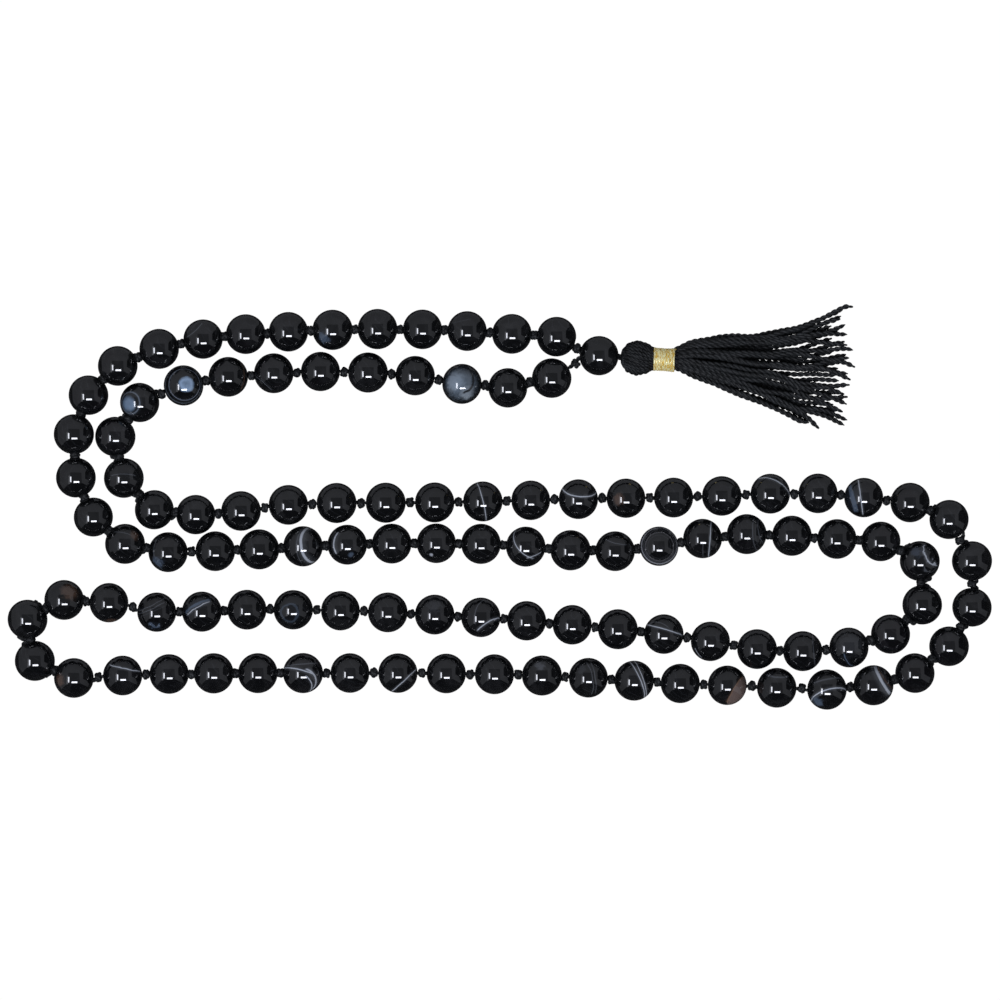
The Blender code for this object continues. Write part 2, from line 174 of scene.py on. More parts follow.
# The beads whose veins show, with each vein as it lies when the mala lies as the CAD has it
MARKS = {
    "a03": (through((-0.7, 0.4), (-0.3, 0.5), (0.1, 0.6), width=0.025, tone=FAINT),),
    "a06": (patch(-0.45, -0.45, 0.4, BLUE, 0.9),),
    "a09": (
        through((-0.8, 0.1), (-0.4, 0.4), (-0.05, 0.8), width=0.025, tone=GREY),
        through((-0.9, 0.3), (-0.6, 0.5), (-0.3, 0.85), width=0.02, tone=FAINT),
    ),
    "a16": (
        through((-0.5, 0.6), (0.0, 0.55), (0.5, 0.35), width=0.025, tone=GREY),
        patch(0.5, 0.45, 0.35, BROWN, 0.4),
    ),
    "a17": (
        through((-0.35, 0.85), (-0.7, 0.0), (-0.4, -0.75), width=0.035, tone=GREY),
        patch(-0.5, -0.55, 0.4, BLUE, 0.8),
    ),
    "a20": (
        through((0.26, 0.9), (-0.06, 0.0), (0.45, -0.78), width=0.085),
        through((-0.05, 0.8), (-0.3, 0.0), (-0.1, -0.75), width=0.03, tone=GREY),
    ),
    "a21": (
        through((-0.45, 0.6), (-0.66, 0.1), (-0.6, -0.3), width=0.06),
        patch(0.2, -0.5, 0.2, BLUE, 0.3),
    ),
    "a23": (patch(-0.25, -0.58, 0.13, PALE, 0.2),),
    "a25": (
        through((-0.41, 0.9), (-0.5, 0.1), (0.2, -0.53), width=0.03),
        through((0.15, -0.55), (0.45, -0.45), (0.77, -0.28), width=0.03),
    ),
    "a27": (through((-0.45, 0.6), (0.0, 0.42), (0.55, 0.35), width=0.025, tone=GREY),),
    "a28": (
        around(0.03, 0.06, 66, width=0.08, tone=(0.28, 0.29, 0.32)),
        around(0.03, 0.02, 54, width=0.02, tone=GREY),
        around(0.02, -0.03, 46, width=0.025, tone=(0.10, 0.10, 0.11)),
        around(0.0, -0.03, 36, width=0.015, tone=FAINT),
    ),
    "a29": (
        through((0.42, 0.7), (0.36, 0.0), (0.3, -0.95), width=0.03),
        through((0.0, -0.3), (0.0, -0.65), (0.02, -0.95), width=0.02, tone=GREY),
    ),
    "a30": (
        through((0.34, 0.67), (0.3, -0.1), (0.54, -0.8), width=0.025, tone=GREY),
        through((0.7, 0.7), (0.58, 0.2), (0.74, -0.3), width=0.025, tone=GREY),
        through((0.52, 0.7), (0.44, 0.0), (0.6, -0.6), width=0.02, tone=FAINT),
    ),
    "a34": (
        through((0.27, 0.8), (0.15, 0.4), (0.42, 0.05), width=0.035, wobble=0.4),
        through((0.3, 0.12), (0.5, -0.05), (0.85, -0.22), width=0.035, wobble=0.4),
        through((0.1, -0.2), (0.4, -0.5), (0.75, -0.4), width=0.025, tone=GREY, wobble=0.4),
        patch(-0.2, 0.45, 0.4, (0.03, 0.04, 0.06), 0.9),
    ),
    "a37": (
        patch(0.1, 0.2, 0.9, FAINT, 0.9),
        through((-0.25, -0.3), (-0.1, -0.7), (0.13, -0.88), width=0.035, tone=BLUE, wobble=0.1),
    ),
    "a38": (through((0.5, 0.78), (0.52, 0.1), (0.63, -0.7), width=0.03, tone=GREY),),
    "a40": (through((-0.78, -0.35), (-0.65, -0.6), (-0.45, -0.8), width=0.03, wobble=0.1),),
    "a41": (
        through((-0.76, 0.46), (0.0, 0.27), (0.9, -0.03), width=0.035),
        through((-0.7, 0.55), (-0.3, 0.6), (0.2, 0.35), width=0.025, tone=GREY),
    ),
    "a45": (
        through((0.28, 0.9), (-0.2, 0.5), (-0.3, 0.0), width=0.03, tone=GREY),
        through((0.0, -0.5), (0.45, -0.2), (0.95, -0.05), width=0.035),
    ),
    "a46": (patch(0.0, 0.45, 0.5, FAINT, 1.2),),
    "a49": (around(-0.2, -0.15, 25, width=0.035, tone=(0.035, 0.047, 0.065), wobble=0.12),),
    "a51": (
        through((-0.65, 0.1), (-0.25, 0.36), (0.4, 0.6), width=0.10, tone=BLUE, wobble=0.15),
        through((-0.6, -0.05), (-0.2, 0.22), (0.4, 0.5), width=0.03, wobble=0.15),
    ),
    "a52": (
        through((-0.85, 0.1), (-0.3, 0.32), (0.4, 0.7), width=0.025, tone=GREY, wobble=0.1),
        through((-0.85, -0.05), (-0.3, 0.15), (0.4, 0.5), width=0.025, tone=GREY, wobble=0.1),
        through((-0.8, -0.25), (-0.3, 0.0), (0.4, 0.3), width=0.025, tone=FAINT, wobble=0.1),
        through((-0.35, -0.6), (-0.1, -0.75), (0.2, -0.62), width=0.04, tone=BLUE, wobble=0.3),
    ),
    "a53": (patch(0.1, -0.95, 0.4, BROWN, 0.3),),
    "a54": (patch(0.35, 0.45, 0.6, BROWN, 0.5),),
    "b03": (
        patch(-0.05, 0.02, 1.2, (0.11, 0.14, 0.175), 0.3),
        patch(-0.35, 0.1, 0.65, (0.22, 0.27, 0.33), 0.35),
        patch(0.25, -0.5, 0.5, (0.26, 0.30, 0.34), 0.35),
        through((0.1, 0.8), (0.55, 0.2), (0.05, -0.45), width=0.07, tone=FAINT, wobble=0.3),
    ),
    "b07": (
        through((-0.85, -0.2), (-0.5, -0.5), (-0.1, -0.85), width=0.025, tone=GREY, wobble=0.1),
        through((-0.9, 0.0), (-0.6, -0.3), (-0.2, -0.65), width=0.02, tone=FAINT, wobble=0.1),
    ),
    "b08": (through((0.7, 0.6), (0.83, 0.05), (0.65, -0.65), width=0.05, tone=BROWN),),
    "b09": (
        around(0.18, 0.04, 0, width=0.34, tone=(0.27, 0.38, 0.54), wobble=0.1),
        around(0.10, 0.06, 50, width=0.03, tone=(0.13, 0.15, 0.19)),
        around(0.04, 0.08, 66, width=0.035, tone=(0.10, 0.12, 0.15)),
    ),
    "b10": (
        around(-0.58, -0.1, 0, width=0.42, tone=(0.15, 0.22, 0.32), wobble=0.12),
        around(-0.52, -0.04, 32, width=0.03, tone=(0.11, 0.13, 0.16)),
    ),
    "b12": (through((-0.6, 0.12), (0.0, 0.2), (0.6, 0.12), width=0.025, tone=GREY),),
    "b20": (through((-0.3, 0.92), (0.0, 0.05), (0.15, -0.97), width=0.03),),
    "b22": (through((-0.8, 0.54), (0.1, 0.14), (0.89, 0.34), width=0.035),),
    "b23": (patch(-0.4, -0.05, 0.4, BROWN, 0.4),),
    "b26": (
        through((-0.64, 0.74), (0.2, 0.69), (0.97, -0.1), width=0.05),
        through((-0.5, 0.86), (0.3, 0.85), (0.9, 0.35), width=0.03, tone=GREY),
    ),
    "b28": (
        through((-0.3, 0.9), (-0.2, 0.1), (-0.07, -0.8), width=0.035),
        through((-0.72, 0.5), (-0.6, 0.0), (-0.4, -0.7), width=0.16, tone=BLUE, wobble=0.15),
    ),
    "b35": (
        through((0.1, 0.92), (0.35, 0.3), (0.82, -0.4), width=0.09),
        through((0.25, 0.92), (0.55, 0.3), (0.9, -0.1), width=0.03, tone=BROWN),
    ),
    "b36": (
        through((-0.77, -0.5), (0.0, 0.0), (0.96, -0.05), width=0.04),
        through((-0.67, 0.35), (0.0, 0.54), (0.6, 0.6), width=0.06, tone=GREY),
        patch(-0.5, -0.6, 0.4, BLUE, 0.6),
    ),
    "b37": (through((-0.5, 0.7), (0.0, 0.56), (0.5, 0.6), width=0.045, tone=GREY),),
    "b38": (
        beyond((0.65, 0.3), (0.33, -0.15), (0.0, -0.85), inside=(0.7, -0.6), tone=(0.13, 0.095, 0.085)),
        through((0.65, 0.3), (0.33, -0.15), (0.0, -0.85), width=0.04, tone=(0.16, 0.10, 0.07)),
    ),
    "b40": (
        through((-0.07, 0.76), (0.28, 0.1), (0.5, -0.9), width=0.035),
        through((0.12, 0.84), (0.42, 0.15), (0.6, -0.8), width=0.03),
    ),
    "b41": (
        through((0.0, 0.6), (0.2, 0.0), (0.15, -0.8), width=0.03, tone=GREY, wobble=0.12),
        through((0.2, 0.6), (0.35, 0.0), (0.35, -0.75), width=0.03, tone=GREY, wobble=0.12),
        patch(-0.35, 0.5, 0.35, FAINT, 0.8),
    ),
    "b42": (patch(-0.1, 0.5, 0.35, GREY, 0.8),),
    "b45": (through((0.9, 0.17), (0.35, -0.35), (-0.3, -0.92), width=0.03),),
    "b47": (
        through((-0.92, 0.25), (-0.3, 0.22), (0.45, 0.0), width=0.045, wobble=0.03),
        through((0.42, 0.05), (0.62, -0.25), (0.45, -0.8), width=0.045, wobble=0.03),
        through((-0.92, 0.33), (-0.2, 0.46), (0.5, 0.5), width=0.045, tone=GREY),
        through((0.3, -0.3), (0.42, -0.55), (0.3, -0.9), width=0.025),
        through((0.75, 0.1), (0.8, -0.3), (0.62, -0.7), width=0.03, tone=GREY),
    ),
    "b51": (through((-0.5, 0.52), (0.2, 0.36), (0.9, 0.2), width=0.03, wobble=0.15),),
    "b52": (patch(-0.7, -0.1, 0.4, BROWN, 0.4),),
}

# The studio's lit panels, far away all round, as (name, distance, strength, outline). An outline says where a
# bead's top mirrors the panel, in shares of the bead's radius. Nearer panels cover the ones behind them.
PANELS = (
    (
        "tent",
        3.0,
        0.26,
        (
            (-0.80, 0.15), (-0.80, 0.40), (-0.62, 0.68), (-0.30, 0.88), (0.0, 0.93), (0.35, 0.86),
            (0.62, 0.68), (0.66, 0.50), (0.53, 0.40), (0.47, 0.28), (0.47, -0.05), (0.78, -0.22),
            (0.70, -0.48), (0.34, -0.28), (-0.34, -0.28), (-0.62, -0.55), (-0.78, -0.30),
        ),
    ),
    ("window", 2.9, 0.13, ((-0.31, -0.27), (0.31, -0.27), (0.28, 0.26), (-0.28, 0.26))),
    ("glow", 2.8, 0.8, ((-0.37, -0.32), (-0.28, -0.30), (-0.28, 0.12), (-0.35, 0.10))),
    ("tall_light", 2.7, 10.0, ((-0.285, -0.22), (-0.225, -0.22), (-0.225, 0.05), (-0.29, 0.05))),
    ("wide_light", 2.7, 17.0, ((-0.11, -0.255), (0.17, -0.255), (0.17, -0.18), (-0.11, -0.18))),
)  # fmt: skip
FADE_START, FADE_END = 0.50, 0.98  # where a panel's light falls off, in shares of the bead's radius
FADED = 0.34  # the share of it that is left
KEY_STRENGTH = 5.0  # panels from this strength up are sampled as lamps
PANEL_COLOUR = (0.95, 0.98, 1.08)
PANEL_CUTS = 7
TABLE_SIZE = 4.0
TABLE_DROP = 0.2 * MM  # how far the table lies under the beads
TABLE_GLOW = 1.02
BACKDROP_RADIUS = 8.0

rng = random.Random(108)


# Camera and studio


def make_camera():
    """A long lens straight above the middle of the mala."""
    camera = bpy.data.objects.new("camera", bpy.data.cameras.new("camera"))
    camera.data.lens = LENS
    camera.data.sensor_width = SENSOR
    camera.location = VIEW_CENTRE + UP * (VIEW_WIDTH * LENS / SENSOR)
    camera.data.clip_end = CAMERA_REACH
    bpy.context.collection.objects.link(camera)
    bpy.context.scene.camera = camera


def emission(name, colour, strength):
    """A material that only glows."""
    made = bpy.data.materials.new(name)
    made.use_nodes = True
    made.cycles.emission_sampling = "FRONT_BACK" if strength >= KEY_STRENGTH else "NONE"
    tree = made.node_tree
    tree.nodes.clear()
    light = tree.nodes.new("ShaderNodeEmission")
    light.inputs["Color"].default_value = (*colour, 1.0)
    light.inputs["Strength"].default_value = strength
    out = tree.nodes.new("ShaderNodeOutputMaterial")
    tree.links.new(light.outputs["Emission"], out.inputs["Surface"])
    return made


def stage_object(name, bm, made_of):
    mesh = bpy.data.meshes.new(name)
    bm.to_mesh(mesh)
    bm.free()
    mesh.materials.append(made_of)
    thing = bpy.data.objects.new(name, mesh)
    bpy.context.collection.objects.link(thing)
    return thing


def mirrored(x, y):
    """The direction that a bead's top mirrors, seen from above, at a place in shares of the bead's radius."""
    height = math.sqrt(max(0.0, 1.0 - x * x - y * y))
    return Vector((2 * height * x, 2 * height * y, 2 * height**2 - 1))


def make_panel(name, distance, strength, outline):
    """A panel that a bead's top mirrors inside the outline, with less light towards the bead's rim."""
    bm = bmesh.new()
    bm.faces.new([bm.verts.new((x, y, 0.0)) for x, y in outline])
    bmesh.ops.triangulate(bm, faces=bm.faces)
    bmesh.ops.subdivide_edges(bm, edges=bm.edges, cuts=PANEL_CUTS, use_grid_fill=True)
    strengths = []
    for vert in bm.verts:
        faded = min(1.0, max(0.0, (vert.co.length - FADE_START) / (FADE_END - FADE_START)))
        strengths.append(strength * (1 - (1 - FADED) * faded))
        vert.co = mirrored(vert.co.x, vert.co.y) * distance
    made_of = emission(name, PANEL_COLOUR, strength)
    lit = made_of.node_tree.nodes.new("ShaderNodeAttribute")
    lit.attribute_name = "strength"
    made_of.node_tree.links.new(lit.outputs["Fac"], made_of.node_tree.nodes["Emission"].inputs["Strength"])
    panel = stage_object(name, bm, made_of)
    panel.data.attributes.new("strength", "FLOAT", "POINT").data.foreach_set("value", strengths)
    panel.visible_camera = False


def make_studio():
    """A white table and backdrop that the stone doesn't mirror, and the panels that it does."""
    white = emission("white_table", (1.0, 1.0, 1.0), TABLE_GLOW)
    bm = bmesh.new()
    bmesh.ops.create_grid(bm, x_segments=1, y_segments=1, size=TABLE_SIZE)
    floor = stage_object("floor", bm, white)
    floor.location.z = -TABLE_DROP
    bm = bmesh.new()
    bmesh.ops.create_icosphere(bm, subdivisions=3, radius=BACKDROP_RADIUS)
    backdrop = stage_object("backdrop", bm, white)
    backdrop.visible_diffuse = False
    for thing in (floor, backdrop):
        thing.visible_glossy = False
        thing.visible_shadow = False
    for panel in PANELS:
        make_panel(*panel)
    world = bpy.data.worlds.new("studio")
    world.use_nodes = True
    world.node_tree.nodes["Background"].inputs["Color"].default_value = (0.02, 0.02, 0.022, 1.0)
    bpy.context.scene.world = world
    bpy.context.scene.view_settings.view_transform = "Standard"


# Node helpers


def calc(tree, operation, *values, clamp=False):
    node = tree.nodes.new("ShaderNodeMath")
    node.operation = operation
    node.use_clamp = clamp
    for socket, value in zip(node.inputs, values, strict=False):
        feed(tree, socket, value)
    return node.outputs[0]


def vector_calc(tree, operation, *values, output="Vector"):
    node = tree.nodes.new("ShaderNodeVectorMath")
    node.operation = operation
    for socket, value in zip(node.inputs, values, strict=False):
        feed(tree, socket, value)
    return node.outputs[output]


def feed(tree, socket, value):
    if isinstance(value, bpy.types.NodeSocket):
        tree.links.new(value, socket)
    else:
        socket.default_value = value


def smooth_step(tree, value, low, high, at_low, at_high):
    node = tree.nodes.new("ShaderNodeMapRange")
    node.interpolation_type = "SMOOTHSTEP"
    for name, number in zip(("Value", "From Min", "From Max", "To Min", "To Max"),
                            (value, low, high, at_low, at_high), strict=True):  # fmt: skip
        feed(tree, node.inputs[name], number)
    return node.outputs["Result"]


def noise_of(tree, place, scale, detail=3.0, distortion=0.0):
    node = tree.nodes.new("ShaderNodeTexNoise")
    feed(tree, node.inputs["Vector"], place)
    node.inputs["Scale"].default_value = scale
    node.inputs["Detail"].default_value = detail
    node.inputs["Distortion"].default_value = distortion
    return node.outputs["Fac"]


def colour_mix(tree, share, one, other):
    node = tree.nodes.new("ShaderNodeMix")
    node.data_type = "RGBA"
    feed(tree, node.inputs[0], share)
    feed(tree, node.inputs[6], one if isinstance(one, bpy.types.NodeSocket) else (*one, 1.0))
    feed(tree, node.inputs[7], other if isinstance(other, bpy.types.NodeSocket) else (*other, 1.0))
    return node.outputs[2]


def bump(tree, height, strength, distance):
    node = tree.nodes.new("ShaderNodeBump")
    node.inputs["Strength"].default_value = strength
    node.inputs["Distance"].default_value = distance
    tree.links.new(height, node.inputs["Height"])
    return node.outputs["Normal"]


def new_material(name):
    made = bpy.data.materials.new(name)
    made.use_nodes = True
    return made, made.node_tree, made.node_tree.nodes["Principled BSDF"]


# Materials


def on_sphere(x, y):
    return Vector((x, y, math.sqrt(max(0.0, 1.0 - x * x - y * y))))


def plane_of(mark):
    """The plane that cuts the bead along a vein: its normal and distance, and the vein's middle and reach."""
    if mark["form"] == "ring":
        normal = on_sphere(*mark["middle"])
        return normal, math.cos(math.radians(mark["angle"])), normal, 2.5
    first, middle, last = (on_sphere(*point) for point in mark["points"])
    normal = (middle - first).cross(last - first).normalized()
    reach = 1.15 * max((first - middle).length, (last - middle).length)
    return normal, normal.dot(first), middle, reach


def vein_mask(tree, place, wobble, mark):
    normal, distance, middle, reach = plane_of(mark)
    height = vector_calc(tree, "DOT_PRODUCT", place, normal, output="Value")
    height = calc(tree, "MULTIPLY_ADD", wobble, mark["wobble"], height)
    away = calc(tree, "ABSOLUTE", calc(tree, "SUBTRACT", height, distance))
    width = mark["width"]
    if mark["form"] == "ring" and mark["angle"] == 0:
        width = 1 - math.sqrt(1 - width**2)
        return smooth_step(tree, away, 0.0, width * 1.2, 1.0, 0.0)
    line = smooth_step(tree, away, width * 0.4, width, 1.0, 0.0)
    halo = smooth_step(tree, away, 0.0, width * 4, 0.12, 0.0)
    shown = calc(tree, "MAXIMUM", line, halo)
    off = vector_calc(tree, "DISTANCE", place, middle, output="Value")
    return calc(tree, "MULTIPLY", shown, smooth_step(tree, off, reach * 0.8, reach, 1.0, 0.0))


def patch_mask(tree, place, grain, mark):
    off = vector_calc(tree, "DISTANCE", place, on_sphere(*mark["middle"]), output="Value")
    near = calc(tree, "DIVIDE", off, mark["radius"])
    near = calc(tree, "MULTIPLY_ADD", grain, mark["grain"] * 2, near)
    return smooth_step(tree, near, 0.35, 1.0, 0.9, 0.0)


def side_mask(tree, place, wobble, mark):
    normal, distance, _, _ = plane_of(mark)
    if normal.dot(on_sphere(*mark["inside"])) < distance:
        normal, distance = -normal, -distance
    height = vector_calc(tree, "DOT_PRODUCT", place, normal, output="Value")
    height = calc(tree, "MULTIPLY_ADD", wobble, 0.05, height)
    return smooth_step(tree, height, distance - 0.02, distance + 0.02, 0.0, 1.0)


def agate(name, seed, marks=()):
    """Polished black agate, with the marks that show when the bead lies as the CAD has it."""
    made, tree, shader = new_material(name)
    where = tree.nodes.new("ShaderNodeTexCoord").outputs["Object"]
    place = vector_calc(tree, "SCALE", where)
    place.node.inputs["Scale"].default_value = 1 / BEAD_RADIUS
    seeded = vector_calc(tree, "ADD", place, Vector((seed * 7.3, seed * 3.1, seed * 5.7)))
    cloud = noise_of(tree, seeded, 1.3, detail=4.0, distortion=0.8)
    colour = colour_mix(tree, smooth_step(tree, cloud, 0.45, 0.75, 0.0, 1.0), BLACK, CLOUD)
    layers = tree.nodes.new("ShaderNodeTexWave")
    layers.bands_direction = "DIAGONAL"
    tree.links.new(seeded, layers.inputs["Vector"])
    for setting, value in (("Scale", 1.4), ("Distortion", 5.0), ("Detail", 3.0), ("Detail Scale", 1.2)):
        layers.inputs[setting].default_value = value
    thin = smooth_step(tree, layers.outputs["Fac"], 0.93, 1.0, 0.0, 0.5)
    fine = noise_of(tree, seeded, 0.9)
    thin = calc(tree, "MULTIPLY", thin, smooth_step(tree, fine, 0.45, 0.62, 0.0, 1.0))
    colour = colour_mix(tree, thin, colour, FAINT)
    wobble = calc(tree, "SUBTRACT", noise_of(tree, seeded, 2.2), 0.5)
    grain = calc(tree, "SUBTRACT", noise_of(tree, seeded, 3.0, detail=5.0, distortion=1.5), 0.5)
    for mark in marks:
        if mark["form"] == "patch":
            mask = patch_mask(tree, place, grain, mark)
        elif mark["form"] == "side":
            mask = side_mask(tree, place, wobble, mark)
        else:
            mask = vein_mask(tree, place, wobble, mark)
        colour = colour_mix(tree, mask, colour, mark["tone"])
    tree.links.new(colour, shader.inputs["Base Color"])
    polish = smooth_step(tree, noise_of(tree, seeded, 4.0), 0.3, 0.7, 0.035, 0.075)
    tree.links.new(polish, shader.inputs["Roughness"])
    shader.inputs["IOR"].default_value = AGATE_IOR
    shader.inputs["Coat Weight"].default_value = 1.0
    shader.inputs["Coat Roughness"].default_value = 0.02
    waves = noise_of(tree, seeded, 3.5, detail=1.0)
    tree.links.new(bump(tree, waves, 0.05, 0.1 * MM), shader.inputs["Normal"])
    return made


def thread_place(tree, along, across):
    """The place on a thread, stretched so that what it drives lies along the thread's own fibres."""
    lie = tree.nodes.new("ShaderNodeAttribute")
    lie.attribute_name = "thread"
    return vector_calc(tree, "MULTIPLY", lie.outputs["Vector"], Vector((along, across, across)))


def cotton():
    """Twisted black thread, with fibres along each ply and painted sheen in a lighter tone along them."""
    made, tree, shader = new_material("black_cotton")
    fibres = noise_of(tree, thread_place(tree, 0.7, 3.2), 1.6, detail=5.0, distortion=0.3)
    where = tree.nodes.new("ShaderNodeTexCoord").outputs["Object"]
    patchy = noise_of(tree, vector_calc(tree, "MULTIPLY", where, Vector((260.0, 700.0, 700.0))), 1.0)
    # Painted sheen: noise along the fibres, broken up in patches, lays on the lighter tone that stands in for
    # their highlights
    tone_and_painted_sheen = calc(tree, "MULTIPLY_ADD", patchy, 0.5, calc(tree, "MULTIPLY", fibres, 0.7))
    colour = colour_mix(tree, smooth_step(tree, tone_and_painted_sheen, 0.45, 0.8, 0.0, 1.0), COTTON_DARK, COTTON_SHEEN)
    tree.links.new(colour, shader.inputs["Base Color"])
    shader.inputs["Roughness"].default_value = 0.5
    shader.inputs["Specular IOR Level"].default_value = 0.3
    tree.links.new(bump(tree, fibres, 0.6, 0.05 * MM), shader.inputs["Normal"])
    return made


def gold_thread():
    """Metallic thread: flat gold foil wound round a core, in short flecks that vary in roughness and bump,
    the paler ones painted glints.
    """
    made, tree, shader = new_material("gold_thread")
    flecks = tree.nodes.new("ShaderNodeTexVoronoi")
    tree.links.new(thread_place(tree, 2.2, 1.0), flecks.inputs["Vector"])
    flecks.inputs["Scale"].default_value = 1.0
    shine = tree.nodes.new("ShaderNodeSeparateColor")
    tree.links.new(flecks.outputs["Color"], shine.inputs["Color"])
    # Painted glints: the paler flecks take a near-white gold, standing in for the foil's glitter
    painted_glint = smooth_step(tree, shine.outputs["Red"], 0.15, 0.75, 0.0, 1.0)
    colour = colour_mix(tree, painted_glint, GOLD_DARK, GOLD_GLINT)
    tree.links.new(colour, shader.inputs["Base Color"])
    shader.inputs["Metallic"].default_value = 0.18
    tree.links.new(smooth_step(tree, shine.outputs["Green"], 0.0, 1.0, 0.22, 0.5), shader.inputs["Roughness"])
    tree.links.new(bump(tree, shine.outputs["Blue"], 0.8, 0.06 * MM), shader.inputs["Normal"])
    return made


# Meshes


def finish_piece(name, bm, made_of, lie=None):
    """The mesh as a piece of the visual model. lie has each vertex's place on its thread."""
    mesh = bpy.data.meshes.new(name)
    bmesh.ops.recalc_face_normals(bm, faces=bm.faces)
    bm.to_mesh(mesh)
    bm.free()
    mesh.shade_smooth()
    mesh.materials.append(made_of)
    if lie:
        attribute = mesh.attributes.new("thread", "FLOAT_VECTOR", "POINT")
        attribute.data.foreach_set("vector", [number for point in lie for number in point])
    piece = bpy.data.objects.new(name, mesh)
    bpy.context.collection.objects.link(piece)
    return piece


def directions(points):
    """At each point of a line: its direction, and a crosswise one that turns as little as it can."""
    found = []
    last = len(points) - 1
    across = None
    for i in range(last + 1):
        along = (points[min(i + 1, last)] - points[max(i - 1, 0)]).normalized()
        if across is None:
            across = along.cross(UP) if abs(along.z) < 0.9 else along.cross(Vector((1.0, 0.0, 0.0)))
        across = (across - along * across.dot(along)).normalized()
        found.append((along, across))
    return found


def lengths_along(points):
    total = 0.0
    found = [0.0]
    for one, other in zip(points, points[1:], strict=False):
        total += (other - one).length
        found.append(total)
    return found


def tube(bm, lie, points, radii, sides):
    """A round tube along the points with capped ends. lie gets each vertex's place on the thread."""
    rings = []
    for point, radius, length, (along, across) in zip(
        points, radii, lengths_along(points), directions(points), strict=True
    ):
        over = along.cross(across)
        ring = []
        for k in range(sides):
            angle = 2 * math.pi * k / sides
            ring.append(bm.verts.new(point + radius * (math.cos(angle) * across + math.sin(angle) * over)))
            lie.append((length / MM, math.cos(angle), math.sin(angle)))
        rings.append(ring)
    for one, other in zip(rings, rings[1:], strict=False):
        for k in range(sides):
            j = (k + 1) % sides
            bm.faces.new((one[k], one[j], other[j], other[k]))
    bm.faces.new(rings[0])
    bm.faces.new(rings[-1])


def resampled(points, step):
    """The line again, with evenly spaced points about step apart."""
    lengths = lengths_along(points)
    count = max(2, math.ceil(lengths[-1] / step) + 1)
    found = []
    here = 0
    for i in range(count):
        goal = lengths[-1] * i / (count - 1)
        while here < len(points) - 2 and lengths[here + 1] < goal:
            here += 1
        part = (goal - lengths[here]) / max(lengths[here + 1] - lengths[here], 1e-12)
        found.append(points[here].lerp(points[here + 1], part))
    return found


def rope(bm, lie, points, width, lay, phase=0.0, taper=0.0, relief=RELIEF):
    """Two plies twisted round each other along the points. taper thins the last share of their length."""
    points = resampled(points, lay / STEPS_A_LAY)
    lengths = lengths_along(points)
    frames = directions(points)
    for ply in range(2):
        line = []
        radii = []
        for point, length, (along, across) in zip(points, lengths, frames, strict=True):
            angle = phase + math.pi * ply + 2 * math.pi * length / lay
            over = along.cross(across)
            left = 1 - length / lengths[-1]
            slim = min(1.0, 0.3 + 0.7 * left / taper) if taper else 1.0
            line.append(point + width * relief * slim * (math.cos(angle) * across + math.sin(angle) * over))
            radii.append(width * (0.5 - relief) * slim)
        tube(bm, lie, line, radii, PLY_SIDES)


def smooth_line(points, steps):
    """A smooth line through the points, with this many steps between two of them."""
    found = []
    ends = [points[0] * 2 - points[1], *points, points[-1] * 2 - points[-2]]
    for a, b, c, d in zip(ends, ends[1:], ends[2:], ends[3:], strict=False):
        for i in range(steps):
            u = i / steps
            curve = (2 * a - 5 * b + 4 * c - d) * u**2 + (3 * b - a - 3 * c + d) * u**3
            found.append(0.5 * (2 * b + (c - a) * u + curve))
    found.append(points[-1].copy())
    return found


# Where the beads are


def route_point(route, bead):
    """The centre of a bead, on a smooth curve through the route's points."""
    last = len(route) - 1
    here = max(i for i in range(last) if route[i][0] <= bead)

    def place(i):
        return Vector((route[i][1] * MM, route[i][2] * MM, BEAD_RADIUS))

    def slope(i):
        if i == 0:
            return (place(1) - place(0)) / (route[1][0] - route[0][0])
        if i == last:
            return (place(i) - place(i - 1)) / (route[i][0] - route[i - 1][0])
        before, after = route[i][0] - route[i - 1][0], route[i + 1][0] - route[i][0]
        arriving, leaving = (place(i) - place(i - 1)) / before, (place(i + 1) - place(i)) / after
        return (arriving * after + leaving * before) / (before + after)

    span = route[here + 1][0] - route[here][0]
    u = (bead - route[here][0]) / span
    return (
        (2 * u**3 - 3 * u**2 + 1) * place(here)
        + (u**3 - 2 * u**2 + u) * span * slope(here)
        + (3 * u**2 - 2 * u**3) * place(here + 1)
        + (u**3 - u**2) * span * slope(here + 1)
    )


def bead_homes():
    """The CAD body and node that hold each bead: {("a", 7): (body, node)}, from the nodes' names."""
    homes = {bead: ("end_loop", "end_loop_beads") for bead in END_LOOP_BEADS}
    for body, nodes in frame["record"]["behaviour"]["bodies"].items():
        for node in nodes:
            words = node.split("_")
            if words[0] == "strand":
                for number in range(int(words[3]), int(words[-1]) + 1):
                    homes[words[1], number] = body, node
    return homes


def string_order():
    """All the beads in the order that they are strung, from the guru bead along strand A and back along B."""
    line_a = [("a", number) for number in range(1, STRAND_A[-1][0] + 1)]
    line_b = [("b", number) for number in range(1, STRAND_B[-1][0] + 1)]
    return line_a + line_b[::-1]


# Beads


def bead_profile(radius):
    """A bead's outline as (distance along the bore, radius), with a rounded lip at each end of the bore."""
    least = math.asin((BORE_RADIUS + LIP) / radius)
    shell = []
    for i in range(BEAD_STEPS + 1):
        polar = least + (math.pi - 2 * least) * i / BEAD_STEPS
        shell.append((-radius * math.cos(polar), radius * math.sin(polar)))
    lip_x = radius * math.cos(least) - LIP
    lip = []
    for degrees in (30, 60, 90):
        angle = math.radians(degrees)
        lip.append((lip_x + LIP * math.cos(angle), BORE_RADIUS + LIP - LIP * math.sin(angle)))
    return [(-x, r) for x, r in reversed(lip)] + shell + lip


